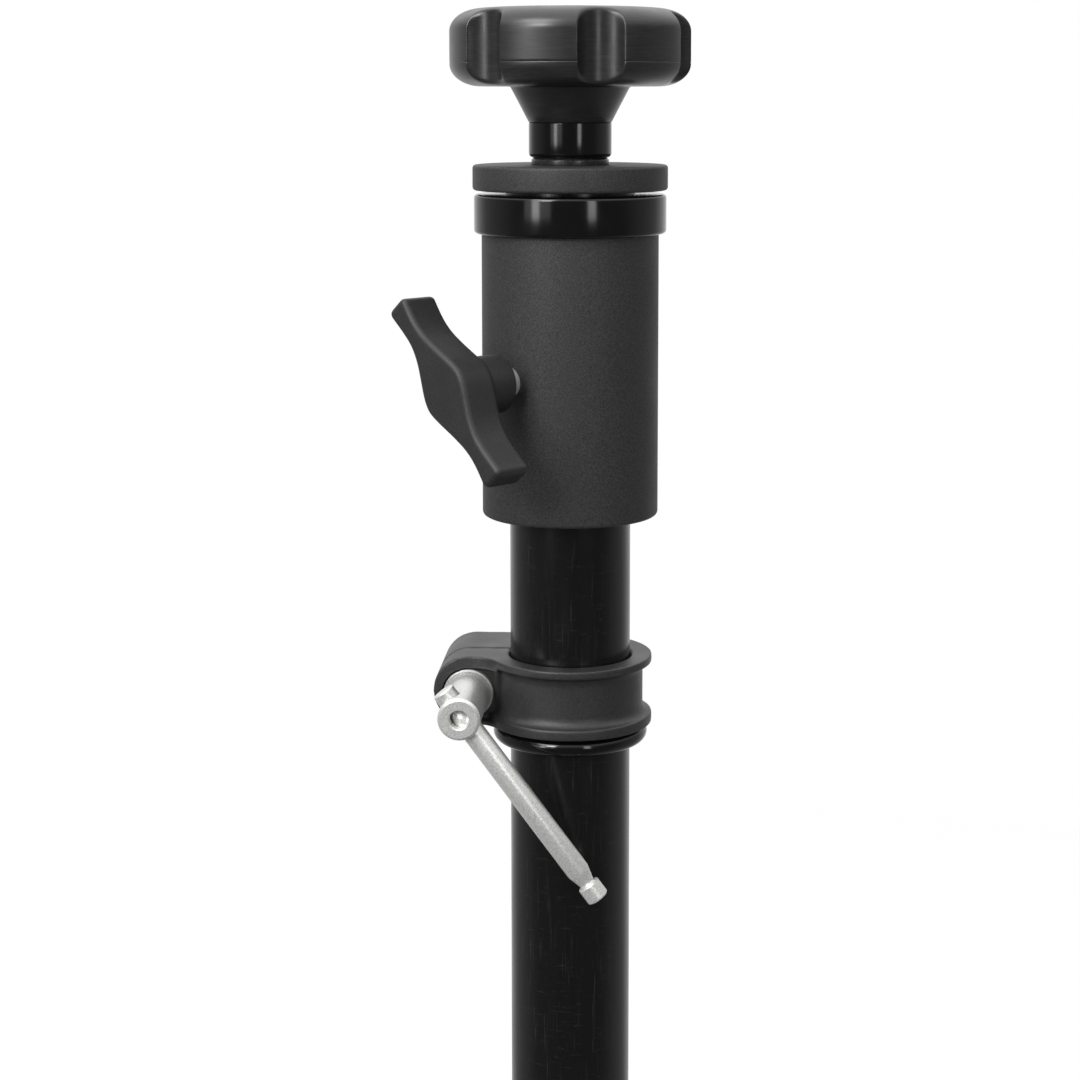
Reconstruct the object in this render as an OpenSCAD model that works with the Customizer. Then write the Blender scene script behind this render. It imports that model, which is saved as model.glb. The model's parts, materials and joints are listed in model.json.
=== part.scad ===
// Followspot stand: a folding tripod with a column, a sliding mast and a turning
// head. The head ends in a spigot with a disc and a hand knob that hold a yoke.
// Millimetres, +Z up. The origin is on the mast axis at floor level and the
// front is -Y.

/* [Mast and column] */
// Outside diameter of the mast tube
mast_d = 48.3; // [47.5:0.1:49]
// Wall of the mast tube
mast_wall = 3.2; // [2.5:0.1:4.5]
// Length of the mast tube
mast_len = 975; // [930:5:1000]
// Bare mast between the top of the column head and the turning sleeve
mast_out = 340; // [330:5:400]
// Outside diameter of the column tube
column_d = 60.3; // [59.5:0.1:62]
// Wall of the column tube
column_wall = 3.2; // [2.6:0.1:3.6]
// Length of the column tube
column_len = 680; // [670:5:740]
// Height of the split clamp ring of the column head
head_clamp_h = 30; // [28:1:34]
// Overlap of the column head's skirt on the column tube
skirt_h = 38; // [30:1:44]
// Wall of the column head's skirt
skirt_wall = 6; // [5:0.5:8]
// Wall of the column head's clamp ring
head_wall = 5.5; // [5:0.1:5.8]
// Length of the liner inside the column head
liner_len = 98; // [80:1:120]
// Turn of the column head's clamp screw to the right of the front, in degrees
head_clamp_turn = 35; // [0:1:40]

/* [Turning sleeve] */
// Outside diameter of the sleeve
sleeve_d = 70.2; // [69:0.1:72]
// Length of the sleeve
sleeve_len = 112.6; // [112:0.1:118]
// Wall of the two bushes between the sleeve and the mast
bush_wall = 2.35; // [2:0.05:3]
// Height of the mast's top end above the sleeve's lower end
mast_in_sleeve = 78; // [74:0.5:80]
// Thickness of the thrust pad that carries the head
pad_t = 4; // [3:0.5:5]
// Diameter of the bearing ring under the disc
ring_d = 76.1; // [74:0.1:77]
// Height of the bearing ring
ring_h = 15.5; // [14:0.1:18]
// Diameter of the spigot that the yoke drops over
spigot_d = 50.7; // [48:0.1:52]
// Height of the spigot above the bearing ring
spigot_up = 1.5; // [1:0.1:3]

/* [Disc and hand knob] */
// Diameter of the clamping disc
disc_d = 77.2; // [74:0.1:80]
// Thickness of the clamping disc
disc_h = 10; // [8:0.1:12]
// Diameter of the stud through the disc and the knob
stud_d = 16; // [14:0.1:18]
// Diameter of the chamfered washer on the disc
boss_d = 30.7; // [28:0.1:32]
// Thickness of the chamfered washer
boss_h = 2.9; // [2.5:0.1:4]
// Diameter of the spacer under the knob
spacer_d = 32.7; // [31.5:0.1:34]
// Height of the spacer
spacer_h = 13.5; // [12:0.1:16]
// Diameter of the knob's cone where it meets the spacer
cone_low_d = 32.8; // [31:0.1:36]
// Diameter of the knob's cone where it meets the grip
cone_top_d = 46.6; // [44:0.1:52]
// Height of the knob's cone
cone_h = 14.2; // [12:0.1:16]
// Diameter of the knob's grip
knob_d = 94.8; // [90:0.1:100]
// Height of the knob's grip
knob_h = 30.2; // [28:0.1:34]
// Height of the straight band round the grip
knob_band = 12.5; // [10:0.1:14]
// Number of finger grooves
groove_count = 6; // [5:1:8]
// Radius of a finger groove
groove_r = 10; // [8:0.1:12]
// Depth of a finger groove at the rim
groove_depth = 6.9; // [5:0.1:8]
// Turn of the first finger groove from the right, in degrees
groove_turn = 44.6; // [0:0.1:60]
// Width of the grip's rounded edges, seen from above
grip_edge_w = 12.4; // [10:0.1:14]

/* [Wing screw] */
// Overall length of the wing grip
wing_len = 78.8; // [76:0.1:82]
// Thickness of the wing grip
wing_t = 17; // [14:0.1:19]
// Width of the wing grip at its tips
wing_tip_w = 11.4; // [10.5:0.1:12.5]
// Diameter of the wing grip's middle
wing_mid_d = 24; // [22:0.1:26]
// Diameter of the boss behind the wing grip
wing_boss_d = 23; // [21:0.1:24]
// Length of the boss
wing_boss_h = 12; // [10:0.1:14]
// Bare stud between the boss and the sleeve
wing_gap = 6.4; // [5:0.1:9]
// Diameter of the wing screw's stud
wing_stud_d = 12.3; // [11:0.1:13]
// Height of the wing screw above the sleeve's lower end
wing_up = 56.2; // [54:0.1:58]
// Turn of the wing screw to the left of the front, in degrees
wing_turn = 43.5; // [35:0.5:50]
// Lean of the wing grip from the horizontal, in degrees
wing_lean = 130.7; // [90:0.1:150]

/* [Stop collar] */
// Height of the collar
collar_h = 27.8; // [26:0.1:32]
// Bare mast between the sleeve and the collar
collar_drop = 57.2; // [55:0.1:62]
// Wall of the collar's waist
collar_wall = 5.2; // [4.6:0.1:7]
// Depth of the recess between the rims of a split clamp
rim_depth = 3.6; // [3:0.1:4]
// Thickness of the upper rim
rim_t = 3.2; // [2.8:0.1:4]
// Thickness of the lower rim
low_rim_t = 4.6; // [3.5:0.1:5]
// Distance from a clamp's waist to its screw axis
ear_reach = 11.3; // [11:0.1:12]
// Width of the slit
slit_w = 1.3; // [1:0.1:2]
// Offset of the slit behind the clamp's centre
slit_back = 5; // [4:0.1:7]
// Turn of the collar's screw to the left of the front, in degrees
collar_turn = 3; // [0:0.5:10]
// Diameter of the buffer washer under the collar
buffer_d = 62.3; // [60:0.1:66]
// Thickness of the buffer washer
buffer_h = 7; // [5:0.1:8]
// Height of the hub on the buffer washer
buffer_hub_h = 0.6; // [0.5:0.1:3]

/* [Clamp screws] */
// Diameter of the plain washer
washer_d = 20; // [19:0.1:21]
// Thickness of the plain washer
washer_h = 3; // [2:0.1:4]
// Diameter of the screw's barrel
barrel_d = 16.7; // [16:0.1:18]
// Length of the screw's barrel
barrel_len = 37.6; // [34:0.1:38]
// Diameter of the flare at the barrel's foot
flare_d = 18.8; // [18.2:0.1:19.5]
// Diameter of the threaded shank
shank_d = 10; // [8:0.1:10.5]
// Diameter of the sliding bar
bar_d = 9.2; // [8:0.1:9.6]
// Diameter of the bar's end heads
bar_head_d = 9; // [8:0.1:9.2]
// Length of a bar's end head
bar_head_len = 7; // [5:0.1:9]
// Length of the cone behind an end head
bar_cone_len = 6.4; // [4:0.1:8]
// Diameter of the cone where it meets the head
bar_neck_d = 5.8; // [5:0.1:7]
// Overall length of the bar
bar_len = 102.2; // [90:0.1:104]
// Distance from the barrel's end to the bar's axis
bar_inset = 7.8; // [7:0.1:9]
// Lean of the bar below the horizontal, in degrees
bar_lean = 53.6; // [40:0.1:70]

/* [Tripod] */
// Distance between the pivots of a brace, and half the distance along a leg
brace_len = 285; // [275:1:290]
// Angle between an open leg and the vertical, in degrees
leg_angle = 52; // [50:0.5:54]
// Outside diameter of a leg tube
leg_d = 38; // [36:0.5:38.5]
// Wall of a leg tube
leg_wall = 2.5; // [2:0.1:3]
// Length of leg below the level of the hub's pivots
leg_tail = 60; // [50:1:64]
// Distance from the column axis to the pivots of the hub and the slider
pivot_r = 56; // [55:0.5:60]
// Height of the leg's end centre above the floor
foot_up = 25; // [22:0.5:27]
// Radius of the rubber foot
foot_r = 29; // [28.5:0.5:32]
// Wall of the rubber foot's sleeve
foot_wall = 3.5; // [3:0.5:5]
// Length of the rubber foot's sleeve
foot_len = 40; // [32:1:50]
// Width of a brace bar
brace_w = 25; // [20:0.5:26]
// Thickness of a brace bar
brace_t = 5; // [4:0.5:6]
// Diameter of the pivot pins
pin_d = 8; // [7:0.1:9]
// Height of the hub at the column's foot
hub_h = 52; // [46:1:56]
// Wall of the hub round the column
hub_wall = 9.8; // [7:0.1:11]
// Height of the slider
slider_h = 44; // [40:1:48]
// Wall of the slider round the column
slider_wall = 8.8; // [7:0.1:9.5]
// Thickness of the eye at the top of a leg
eye_t = 20; // [16:0.5:21]
// Radius of the eye
eye_r = 12; // [10:0.5:12.5]
// Thickness of a fork cheek on the slider
cheek_t = 6; // [5:0.5:7]
// Distance from the slider's screw seat to the column axis
slider_seat = 48; // [46:0.5:50]
// Height of the slider's screw above the slider's pivots
slider_screw_up = 8; // [4:0.5:9]

/* [Clearances] */
// Radial gap between a fixed piece and its seat
fit_gap = 0.05; // [0.02:0.01:0.08]
// Radial gap between pieces that slide or turn on one another
run_gap = 0.08; // [0.05:0.01:0.1]
// Side gap between the flat faces of pieces that turn past one another
side_gap = 0.5; // [0.3:0.1:1]
// Gap between the mast and what its brake or a screw presses on it
open_gap = 0.3; // [0.2:0.05:0.5]

/* [Hidden] */
$fn = 64;

// Small lengths that several pieces share
edge_r = 1.5;
chamfer = 1;
fine_edge = 0.5;
past = 1;
overlap = 3;
arc_steps = 4;

// Radii
mast_r = mast_d / 2;
mast_in_r = mast_r - mast_wall;
column_r = column_d / 2;
column_in_r = column_r - column_wall;
sleeve_r = sleeve_d / 2;
sleeve_in_r = mast_r + bush_wall;
ring_r = ring_d / 2;
spigot_r = spigot_d / 2;
disc_r = disc_d / 2;
stud_r = stud_d / 2;
knob_r = knob_d / 2;
wing_stud_r = wing_stud_d / 2;
shank_r = shank_d / 2;
barrel_r = barrel_d / 2;
bar_r = bar_d / 2;
leg_r = leg_d / 2;
pin_r = pin_d / 2;

// Tripod heights: the hub hangs on the legs, which stand on the floor
hub_z = foot_up + leg_tail * cos(leg_angle);
slider_z = hub_z + 2 * brace_len * cos(leg_angle);
leg_len = 2 * brace_len + leg_tail;
leg_start = 22;
eye_plug_h = 26;
hub_r = column_r + hub_wall;
hub_low = hub_z - hub_h / 2;
hub_floor = 6;
lug_over = 9;
lug_half = eye_t / 2 + lug_over;
lug_r = 14;
brace_side = lug_half + side_gap + brace_t / 2;
slider_r = column_r + slider_wall;
cheek_side = eye_t / 2 + side_gap + cheek_t / 2;
pin_head_r = pin_r + 2;
pin_head_t = 2.5;
leg_turns = [90, 210, 330];

// Column heights
column_low = hub_low + hub_floor;
column_top = column_low + column_len;
head_neck_h = 6;
head_top = column_top + head_neck_h + head_clamp_h;
relief_h = 1.5;
liner_lip_h = 2.5;
liner_lip_r = column_r;
plug_lip_h = 3;
plug_h = 12;

// Head heights
sleeve_low = head_top + mast_out;
sleeve_top = sleeve_low + sleeve_len;
ring_top = sleeve_top + ring_h;
disc_low = ring_top + spigot_up;
boss_low = disc_low + disc_h;
spacer_low = boss_low + boss_h;
knob_low = spacer_low + spacer_h;
grip_low = knob_low + cone_h;
grip_top = grip_low + knob_h;
mast_top = sleeve_low + mast_in_sleeve;
mast_low = mast_top - mast_len;
cap_t = 3;
cap_plug_h = 15;
pad_low = mast_top + cap_t;
pad_r = mast_in_r + 1;
spigot_low = pad_low + pad_t;
stud_floor = 6;
stud_cover = 9;
stud_low = spigot_low + stud_floor;
stud_top = grip_top - stud_cover;
foot_bush_h = 36;
foot_bush_lip = 4;
foot_bush_hole_r = 14;
low_bush_up = 3;
bush_h = 27;
wing_z = sleeve_low + wing_up;

// Wing screw distances from the mast axis
slug_len = 6.5;
slug_end = mast_r + open_gap + slug_len;
boss_back = sleeve_r + wing_gap;
wing_back = boss_back + wing_boss_h;
wing_round = 2;
wing_hollow_r = 37.8;
wing_hollow_at = 25;
wing_hollow_half = 3.1;
wing_slope_at = 24.5;
wing_slope_half = 4.7;

// Clamp rings
collar_low = sleeve_low - collar_drop - collar_h;
collar_waist_r = mast_r + collar_wall;
head_waist_r = column_in_r + head_wall;
seat_front = 7;
head_seat_front = 9.4;
rim_front = 10.4;
ear_fillet_r = 12;
collar_lead = 1.2;
screw_drop = 1.6;
seat_fillet = 2.8;
seam_gap = 0.3;
rim_step = 0.6;

// Points of an arc round a centre
function arc(centre, r, from, to, steps = arc_steps) =
    [for (i = [0:steps])
        let (a = from + (to - from) * i / steps)
        [centre[0] + r * cos(a), centre[1] + r * sin(a)]];

// Half section of a ring whose outer edges are rounded
function ring_section(r_in, r_out, h, edge) = concat(
    [[r_in, 0]],
    arc([r_out - edge, edge], edge, -90, 0),
    arc([r_out - edge, h - edge], edge, 0, 90),
    [[r_in, h]]
);

// Screw position of a split clamp, left of its centre
function screw_x(waist_r) = -(waist_r + ear_reach);

module turned(points) {
    rotate_extrude($fn = 96) polygon(points);
}

// Places a piece drawn along +Z so that it points out of the stand's front,
// turned to the left, from a seat at a distance from the axis
module outward(turn_left, side, seat, height) {
    rotate([0, 0, -turn_left])
        translate([side, -seat, height])
            rotate([90, 0, 0]) children();
}

// A straight bar with round ends, along +Z between two pivots
module link(length, width, thickness) {
    rotate([90, 0, 0])
        linear_extrude(thickness, center = true)
            union() {
                circle(d = width);
                translate([0, length]) circle(d = width);
                translate([-width / 2, 0]) square([width, length]);
            }
}

// A bore or pin across a leg plane
module across(r, half_length) {
    rotate([90, 0, 0]) cylinder(r = r, h = 2 * half_length, center = true);
}

// Leg frame: +Z runs down the leg from the slider's pivot
module leg_frame(i) {
    rotate([0, 0, leg_turns[i]])
        translate([pivot_r, 0, slider_z])
            rotate([0, 180 - leg_angle, 0]) children();
}

// Brace frame: +Z runs from the hub's pivot to the pivot on the leg
module brace_frame(i) {
    rotate([0, 0, leg_turns[i]])
        translate([pivot_r, 0, hub_z])
            rotate([0, leg_angle, 0]) children();
}

// Hand knob: a grip with finger grooves over a cone
module hand_knob() {
    grip_in_r = knob_r - grip_edge_w;
    edge_h = (knob_h - knob_band) / 2;
    edge_steps = 5;
    crown = 0.8;
    low = [for (i = [0:edge_steps])
        let (a = 90 * i / edge_steps)
        [grip_in_r + grip_edge_w * sin(a), edge_h - edge_h * cos(a)]];
    high = [for (p = low) [p[0], knob_h - p[1]]];
    section = concat(
        [[0, 0], [cone_low_d / 2, 0], [cone_top_d / 2, cone_h]],
        [for (p = low) [p[0], p[1] + cone_h]],
        [for (i = [edge_steps:-1:0]) [high[i][0], high[i][1] + cone_h]],
        [[0, knob_h + cone_h + crown]]
    );
    groove_at = knob_r - groove_depth + groove_r;
    color([0.07, 0.07, 0.075])
        translate([0, 0, knob_low])
            difference() {
                turned(section);
                for (i = [0:groove_count - 1])
                    rotate([0, 0, groove_turn + i * 360 / groove_count])
                        translate([groove_at, 0, cone_h - past])
                            cylinder(r = groove_r, h = knob_h + 2 * past + crown);
                translate([0, 0, -past])
                    cylinder(r = stud_r + run_gap, h = stud_top + open_gap - knob_low + past);
            }
}

// Glossy spacer between the knob and the washer
module knob_spacer() {
    r_out = spacer_d / 2;
    edge = 1.7;
    color([0.03, 0.03, 0.033])
        translate([0, 0, spacer_low])
            turned(concat(
                [[stud_r + run_gap, 0]],
                arc([r_out - edge, edge], edge, -90, 0),
                [[r_out, spacer_h], [stud_r + run_gap, spacer_h]]
            ));
}

// Stud that joins the spigot to the knob
module clamp_stud() {
    color([0.62, 0.63, 0.65])
        translate([0, 0, stud_low])
            turned([
                [0, 0], [stud_r - chamfer, 0], [stud_r, chamfer],
                [stud_r, stud_top - stud_low - chamfer],
                [stud_r - chamfer, stud_top - stud_low], [0, stud_top - stud_low]
            ]);
}

// Chamfered washer on the disc
module clamp_washer() {
    r_out = boss_d / 2;
    color([0.05, 0.05, 0.055])
        translate([0, 0, boss_low])
            turned([
                [stud_r + run_gap, 0], [r_out, 0], [r_out, boss_h - chamfer],
                [r_out - chamfer, boss_h], [stud_r + run_gap, boss_h]
            ]);
}

// Disc that clamps the yoke down on the bearing ring
module clamp_disc() {
    color([0.13, 0.13, 0.135])
        translate([0, 0, disc_low])
            turned(ring_section(stud_r + run_gap, disc_r, disc_h, edge_r));
}

// Spigot: a plug in the sleeve with a neck that the yoke drops over
module head_spigot() {
    color([0.3, 0.3, 0.31])
        difference() {
            union() {
                translate([0, 0, spigot_low])
                    cylinder(r = sleeve_in_r - fit_gap, h = sleeve_top - spigot_low);
                translate([0, 0, sleeve_top - past])
                    cylinder(r = spigot_r, h = disc_low - sleeve_top + past);
            }
            translate([0, 0, stud_low - fit_gap])
                cylinder(r = stud_r + fit_gap, h = disc_low - stud_low + past);
        }
}

// Glossy ring that the yoke turns on
module bearing_ring() {
    color([0.03, 0.03, 0.033])
        translate([0, 0, sleeve_top])
            turned(ring_section(spigot_r + fit_gap, ring_r, ring_h, edge_r));
}

// Sleeve that turns on the mast
module head_sleeve() {
    color([0.14, 0.14, 0.145])
        difference() {
            translate([0, 0, sleeve_low])
                turned(concat(
                    [[sleeve_in_r, 0]],
                    arc([sleeve_r - edge_r, edge_r], edge_r, -90, 0),
                    [[sleeve_r, sleeve_len], [sleeve_in_r, sleeve_len]]
                ));
            outward(wing_turn, 0, mast_r, wing_z)
                cylinder(r = wing_stud_r + fit_gap, h = sleeve_r - mast_r + past);
        }
}

// Two bushes between the sleeve and the mast, the upper one drilled for the brake
module sleeve_bushes() {
    upper_low = wing_up - bush_h / 2;
    color([0.85, 0.84, 0.8])
        difference() {
            for (low = [low_bush_up, upper_low])
                translate([0, 0, sleeve_low + low])
                    turned([
                        [mast_r + run_gap, 0], [sleeve_in_r - fit_gap, 0],
                        [sleeve_in_r - fit_gap, bush_h], [mast_r + run_gap, bush_h]
                    ]);
            outward(wing_turn, 0, mast_r - overlap, wing_z)
                cylinder(r = wing_stud_r + 2 * open_gap, h = sleeve_r - mast_r + overlap);
        }
}

// Thrust pad between the spigot and the mast's cap
module thrust_pad() {
    color([0.85, 0.84, 0.8])
        translate([0, 0, pad_low]) cylinder(r = pad_r, h = pad_t);
}

// Half outline of the wing grip: a hollow flank, then a sloping one that flares at its tip
function wing_flank() = concat(
    arc([wing_hollow_at, wing_hollow_half + wing_hollow_r], wing_hollow_r,
        asin((wing_len / 2 - wing_hollow_at) / wing_hollow_r) - 90,
        -asin((wing_hollow_at - wing_round) / wing_hollow_r) - 90, 8),
    [[0, wing_mid_d / 2], [-wing_slope_at, wing_slope_half],
     [-(wing_slope_at + wing_len / 2) / 2, wing_slope_half],
     [-wing_len / 2, wing_tip_w / 2]]
);

// Wing grip with rounded edges, and the boss that holds the stud
module wing_knob() {
    flank = wing_flank();
    color([0.11, 0.11, 0.115])
        outward(wing_turn, 0, 0, wing_z)
            difference() {
                union() {
                    translate([0, 0, wing_back + wing_round])
                        rotate([0, 0, wing_lean])
                            minkowski() {
                                linear_extrude(wing_t - 2 * wing_round)
                                    offset(delta = -wing_round)
                                        union() {
                                            polygon(concat(flank, [for (p = flank) -p]));
                                            circle(d = wing_mid_d, $fn = 32);
                                        }
                                sphere(wing_round, $fn = 12);
                            }
                    translate([0, 0, boss_back])
                        cylinder(d = wing_boss_d, h = wing_boss_h + overlap);
                }
                translate([0, 0, boss_back - past])
                    cylinder(r = wing_stud_r + fit_gap, h = wing_boss_h + wing_t / 2 + past);
            }
}

// Stud of the wing screw
module wing_stud() {
    color([0.7, 0.7, 0.68])
        outward(wing_turn, 0, slug_end, wing_z)
            cylinder(r = wing_stud_r, h = wing_back + wing_t / 2 - slug_end - fit_gap);
}

// Slug between the stud and the mast, hollowed to the mast's curve
module brake_slug() {
    color([0.72, 0.58, 0.3])
        difference() {
            outward(wing_turn, 0, mast_r - past, wing_z)
                cylinder(r = wing_stud_r - fit_gap, h = slug_end - mast_r + past);
            translate([0, 0, wing_z])
                cylinder(r = mast_r + open_gap, h = wing_stud_d + 2 * past, center = true);
        }
}

// Mast tube
module mast_tube() {
    color([0.09, 0.09, 0.1])
        translate([0, 0, mast_low])
            difference() {
                cylinder(r = mast_r, h = mast_len);
                translate([0, 0, -past]) cylinder(r = mast_in_r, h = mast_len + 2 * past);
            }
}

// Cap in the mast's top that the head's thrust pad turns on
module mast_cap() {
    color([0.6, 0.61, 0.62])
        translate([0, 0, mast_top - cap_plug_h])
            turned([
                [0, 0], [mast_in_r - fit_gap - chamfer, 0],
                [mast_in_r - fit_gap, chamfer], [mast_in_r - fit_gap, cap_plug_h],
                [mast_r - edge_r, cap_plug_h], [mast_r - edge_r, cap_plug_h + cap_t],
                [0, cap_plug_h + cap_t]
            ]);
}

// Bush on the mast's lower end that runs in the column
module mast_foot_bush() {
    out_r = column_in_r - run_gap;
    color([0.85, 0.84, 0.8])
        translate([0, 0, mast_low - foot_bush_lip])
            turned([
                [foot_bush_hole_r, 0], [out_r - chamfer, 0], [out_r, chamfer],
                [out_r, foot_bush_h + foot_bush_lip],
                [mast_r + fit_gap, foot_bush_h + foot_bush_lip],
                [mast_r + fit_gap, foot_bush_lip], [foot_bush_hole_r, foot_bush_lip]
            ]);
}

// Ring of a split clamp: two rims with a hollow waist between them
module clamp_ring(waist_r, h) {
    rim_r = waist_r + rim_depth;
    turned(concat(
        [[0, 0], [rim_r, 0]],
        arc([rim_r, low_rim_t - rim_step + rim_depth], rim_depth, -90, -180),
        arc([rim_r, h - rim_t - rim_depth], rim_depth, 180, 90),
        [[rim_r, h], [0, h]]
    ));
}

// Front outline of a clamp's ears, drawn in from the rim by an inset
module ear_front(waist_r, h, inset) {
    x = screw_x(waist_r);
    translate([x, h / 2]) circle(h / 2 - inset);
    translate([x, inset]) square([-x, h - 2 * inset]);
}

// Plan outline of a clamp's ears, with the hollow where they meet the ring
module ear_plan(waist_r, h) {
    rim_r = waist_r + rim_depth;
    far = screw_x(waist_r) - h / 2;
    hollow_y = -(rim_front + ear_fillet_r);
    hollow_x = -sqrt(pow(rim_r + ear_fillet_r, 2) - pow(hollow_y, 2));
    touch = rim_r / (rim_r + ear_fillet_r);
    polygon(concat(
        [[far, -rim_front]],
        arc([hollow_x, hollow_y], ear_fillet_r, 90, atan2(-hollow_y, -hollow_x)),
        [[hollow_x * touch / 2, hollow_y * touch / 2], [0, 0],
         [0, rim_r - seam_gap], [far, rim_r - seam_gap]]
    ));
}

// Rounded corner between a clamp's seat and its ring, in plan
module seat_corner(waist_r, seat) {
    reach = waist_r + seat_fillet;
    at_y = -(seat + seat_fillet);
    at_x = -sqrt(pow(reach, 2) - pow(at_y, 2));
    corner_x = -sqrt(pow(waist_r, 2) - pow(seat, 2));
    polygon(concat(
        arc([at_x, at_y], seat_fillet, 90, atan2(-at_y, -at_x)),
        [[corner_x + fine_edge, -seat + fine_edge]]
    ));
}

// Body of a split clamp with its ears, slit and screw holes, still without its bore
module split_clamp(waist_r, h, seat) {
    x = screw_x(waist_r);
    rim_r = waist_r + rim_depth;
    back_web = waist_r - seam_gap;
    difference() {
        union() {
            clamp_ring(waist_r, h);
            difference() {
                intersection() {
                    linear_extrude(h) ear_plan(waist_r, h);
                    translate([0, rim_r, 0])
                        rotate([90, 0, 0])
                            linear_extrude(2 * rim_r) ear_front(waist_r, h, 0);
                }
                for (y = [-seat, rim_r + past])
                    translate([0, y, -screw_drop])
                        rotate([90, 0, 0])
                            linear_extrude(y < 0 ? rim_r : rim_r + past - back_web)
                                ear_front(waist_r, h, rim_t);
            }
            translate([0, 0, rim_t / 2])
                linear_extrude(h - rim_t) seat_corner(waist_r, seat);
        }
        translate([x - h, slit_back - slit_w / 2, -past])
            cube([h - x - past, slit_w, h + 2 * past]);
        translate([x, slit_back, h / 2 - screw_drop])
            rotate([90, 0, 0])
                cylinder(r = shank_r + open_gap, h = rim_r);
        translate([x, rim_r, h / 2 - screw_drop])
            rotate([90, 0, 0])
                cylinder(r = shank_r + fit_gap, h = rim_r);
    }
}

// Stop collar: a split clamp on the mast
module stop_collar() {
    color([0.12, 0.12, 0.125])
        translate([0, 0, collar_low])
            rotate([0, 0, -collar_turn])
                difference() {
                    split_clamp(collar_waist_r, collar_h, seat_front);
                    translate([0, 0, -past])
                        cylinder(r = mast_r + run_gap, h = collar_h + 2 * past);
                    translate([0, 0, collar_h - collar_lead])
                        cylinder(r1 = mast_r + run_gap, r2 = mast_r + run_gap + collar_lead + past,
                                 h = collar_lead + past);
                }
}

// Buffer washer with rounded edges, and a hub that seats it on the collar
module buffer_washer() {
    r_out = buffer_d / 2;
    half = buffer_h / 2;
    hub_r_out = mast_r + collar_wall / 2;
    color([0.03, 0.03, 0.033])
        translate([0, 0, collar_low - buffer_h - buffer_hub_h])
            turned(concat(
                [[mast_r + run_gap, 0]],
                arc([r_out - half, half], half, -90, 90, 8),
                [[hub_r_out, buffer_h], [hub_r_out, buffer_h + buffer_hub_h],
                 [mast_r + run_gap, buffer_h + buffer_hub_h]]
            ));
}

// Plain washer under a clamp screw
module screw_washer() {
    color([0.72, 0.72, 0.7])
        turned([
            [shank_r + run_gap, 0], [washer_d / 2, 0], [washer_d / 2, washer_h - fine_edge],
            [washer_d / 2 - fine_edge, washer_h], [shank_r + run_gap, washer_h]
        ]);
}

// Clamp screw: a shank behind the seat and a barrel that holds the sliding bar
module clamp_screw(shank_len) {
    end = washer_h + barrel_len;
    end_bore_r = 3.75;
    flare_h = 3;
    color([0.75, 0.75, 0.73])
        difference() {
            turned([
                [0, -shank_len], [shank_r - chamfer, -shank_len],
                [shank_r, -shank_len + chamfer], [shank_r, washer_h],
                [flare_d / 2 - fine_edge, washer_h], [flare_d / 2, washer_h + fine_edge],
                [flare_d / 2 - fine_edge, washer_h + flare_h / 2], [barrel_r, washer_h + flare_h],
                [barrel_r, end - chamfer], [barrel_r - chamfer, end], [0, end]
            ]);
            translate([0, 0, end - bar_inset])
                rotate([0, 90, -bar_lean])
                    cylinder(r = bar_r + run_gap, h = flare_d + 2 * past, center = true);
            translate([0, 0, end - bar_inset]) cylinder(r = end_bore_r, h = bar_inset + past);
            translate([0, 0, end - fine_edge])
                cylinder(r1 = end_bore_r, r2 = end_bore_r + 2 * fine_edge, h = 2 * fine_edge);
        }
}

// Sliding bar with a head and a cone at each end
module sliding_bar() {
    head_r = bar_head_d / 2;
    near = -(bar_head_len + bar_r);
    far = near + bar_len;
    half_section = [
        [0, 0], [head_r - fine_edge, 0], [head_r, fine_edge], [head_r, bar_head_len - fine_edge],
        [head_r - fine_edge, bar_head_len], [bar_neck_d / 2, bar_head_len],
        [bar_r, bar_head_len + bar_cone_len]
    ];
    color([0.78, 0.78, 0.76])
        translate([0, 0, washer_h + barrel_len - bar_inset])
            rotate([0, 90, -bar_lean])
                turned(concat(
                    [for (p = half_section) [p[0], near + p[1]]],
                    [for (i = [6:-1:0]) [half_section[i][0], far - half_section[i][1]]]
                ));
}

// Places a piece at the screw seat of the stop collar
module at_collar() {
    outward(collar_turn, screw_x(collar_waist_r), seat_front,
            collar_low + collar_h / 2 - screw_drop)
        children();
}

// Places a piece at the screw seat of the column head
module at_column_head() {
    outward(-head_clamp_turn, screw_x(head_waist_r), head_seat_front,
            head_top - head_clamp_h / 2 - screw_drop)
        children();
}

// Places a piece at the screw seat of the slider
module at_slider() {
    outward(0, 0, slider_seat, slider_z + slider_screw_up) children();
}

module collar_washer() at_collar() screw_washer();
module collar_screw() at_collar() clamp_screw(seat_front + collar_waist_r - overlap);
module collar_bar() at_collar() sliding_bar();
module column_washer() at_column_head() screw_washer();
module column_screw() at_column_head() clamp_screw(head_seat_front + head_waist_r - overlap);
module column_bar() at_column_head() sliding_bar();
module slider_washer() at_slider() screw_washer();
module slider_screw() at_slider() clamp_screw(slider_seat - column_r - open_gap);
module slider_bar() at_slider() sliding_bar();

// Column tube
module column_tube() {
    color([0.09, 0.09, 0.1])
        translate([0, 0, column_low])
            difference() {
                cylinder(r = column_r, h = column_len);
                translate([0, 0, -past]) cylinder(r = column_in_r, h = column_len + 2 * past);
            }
}

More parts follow.
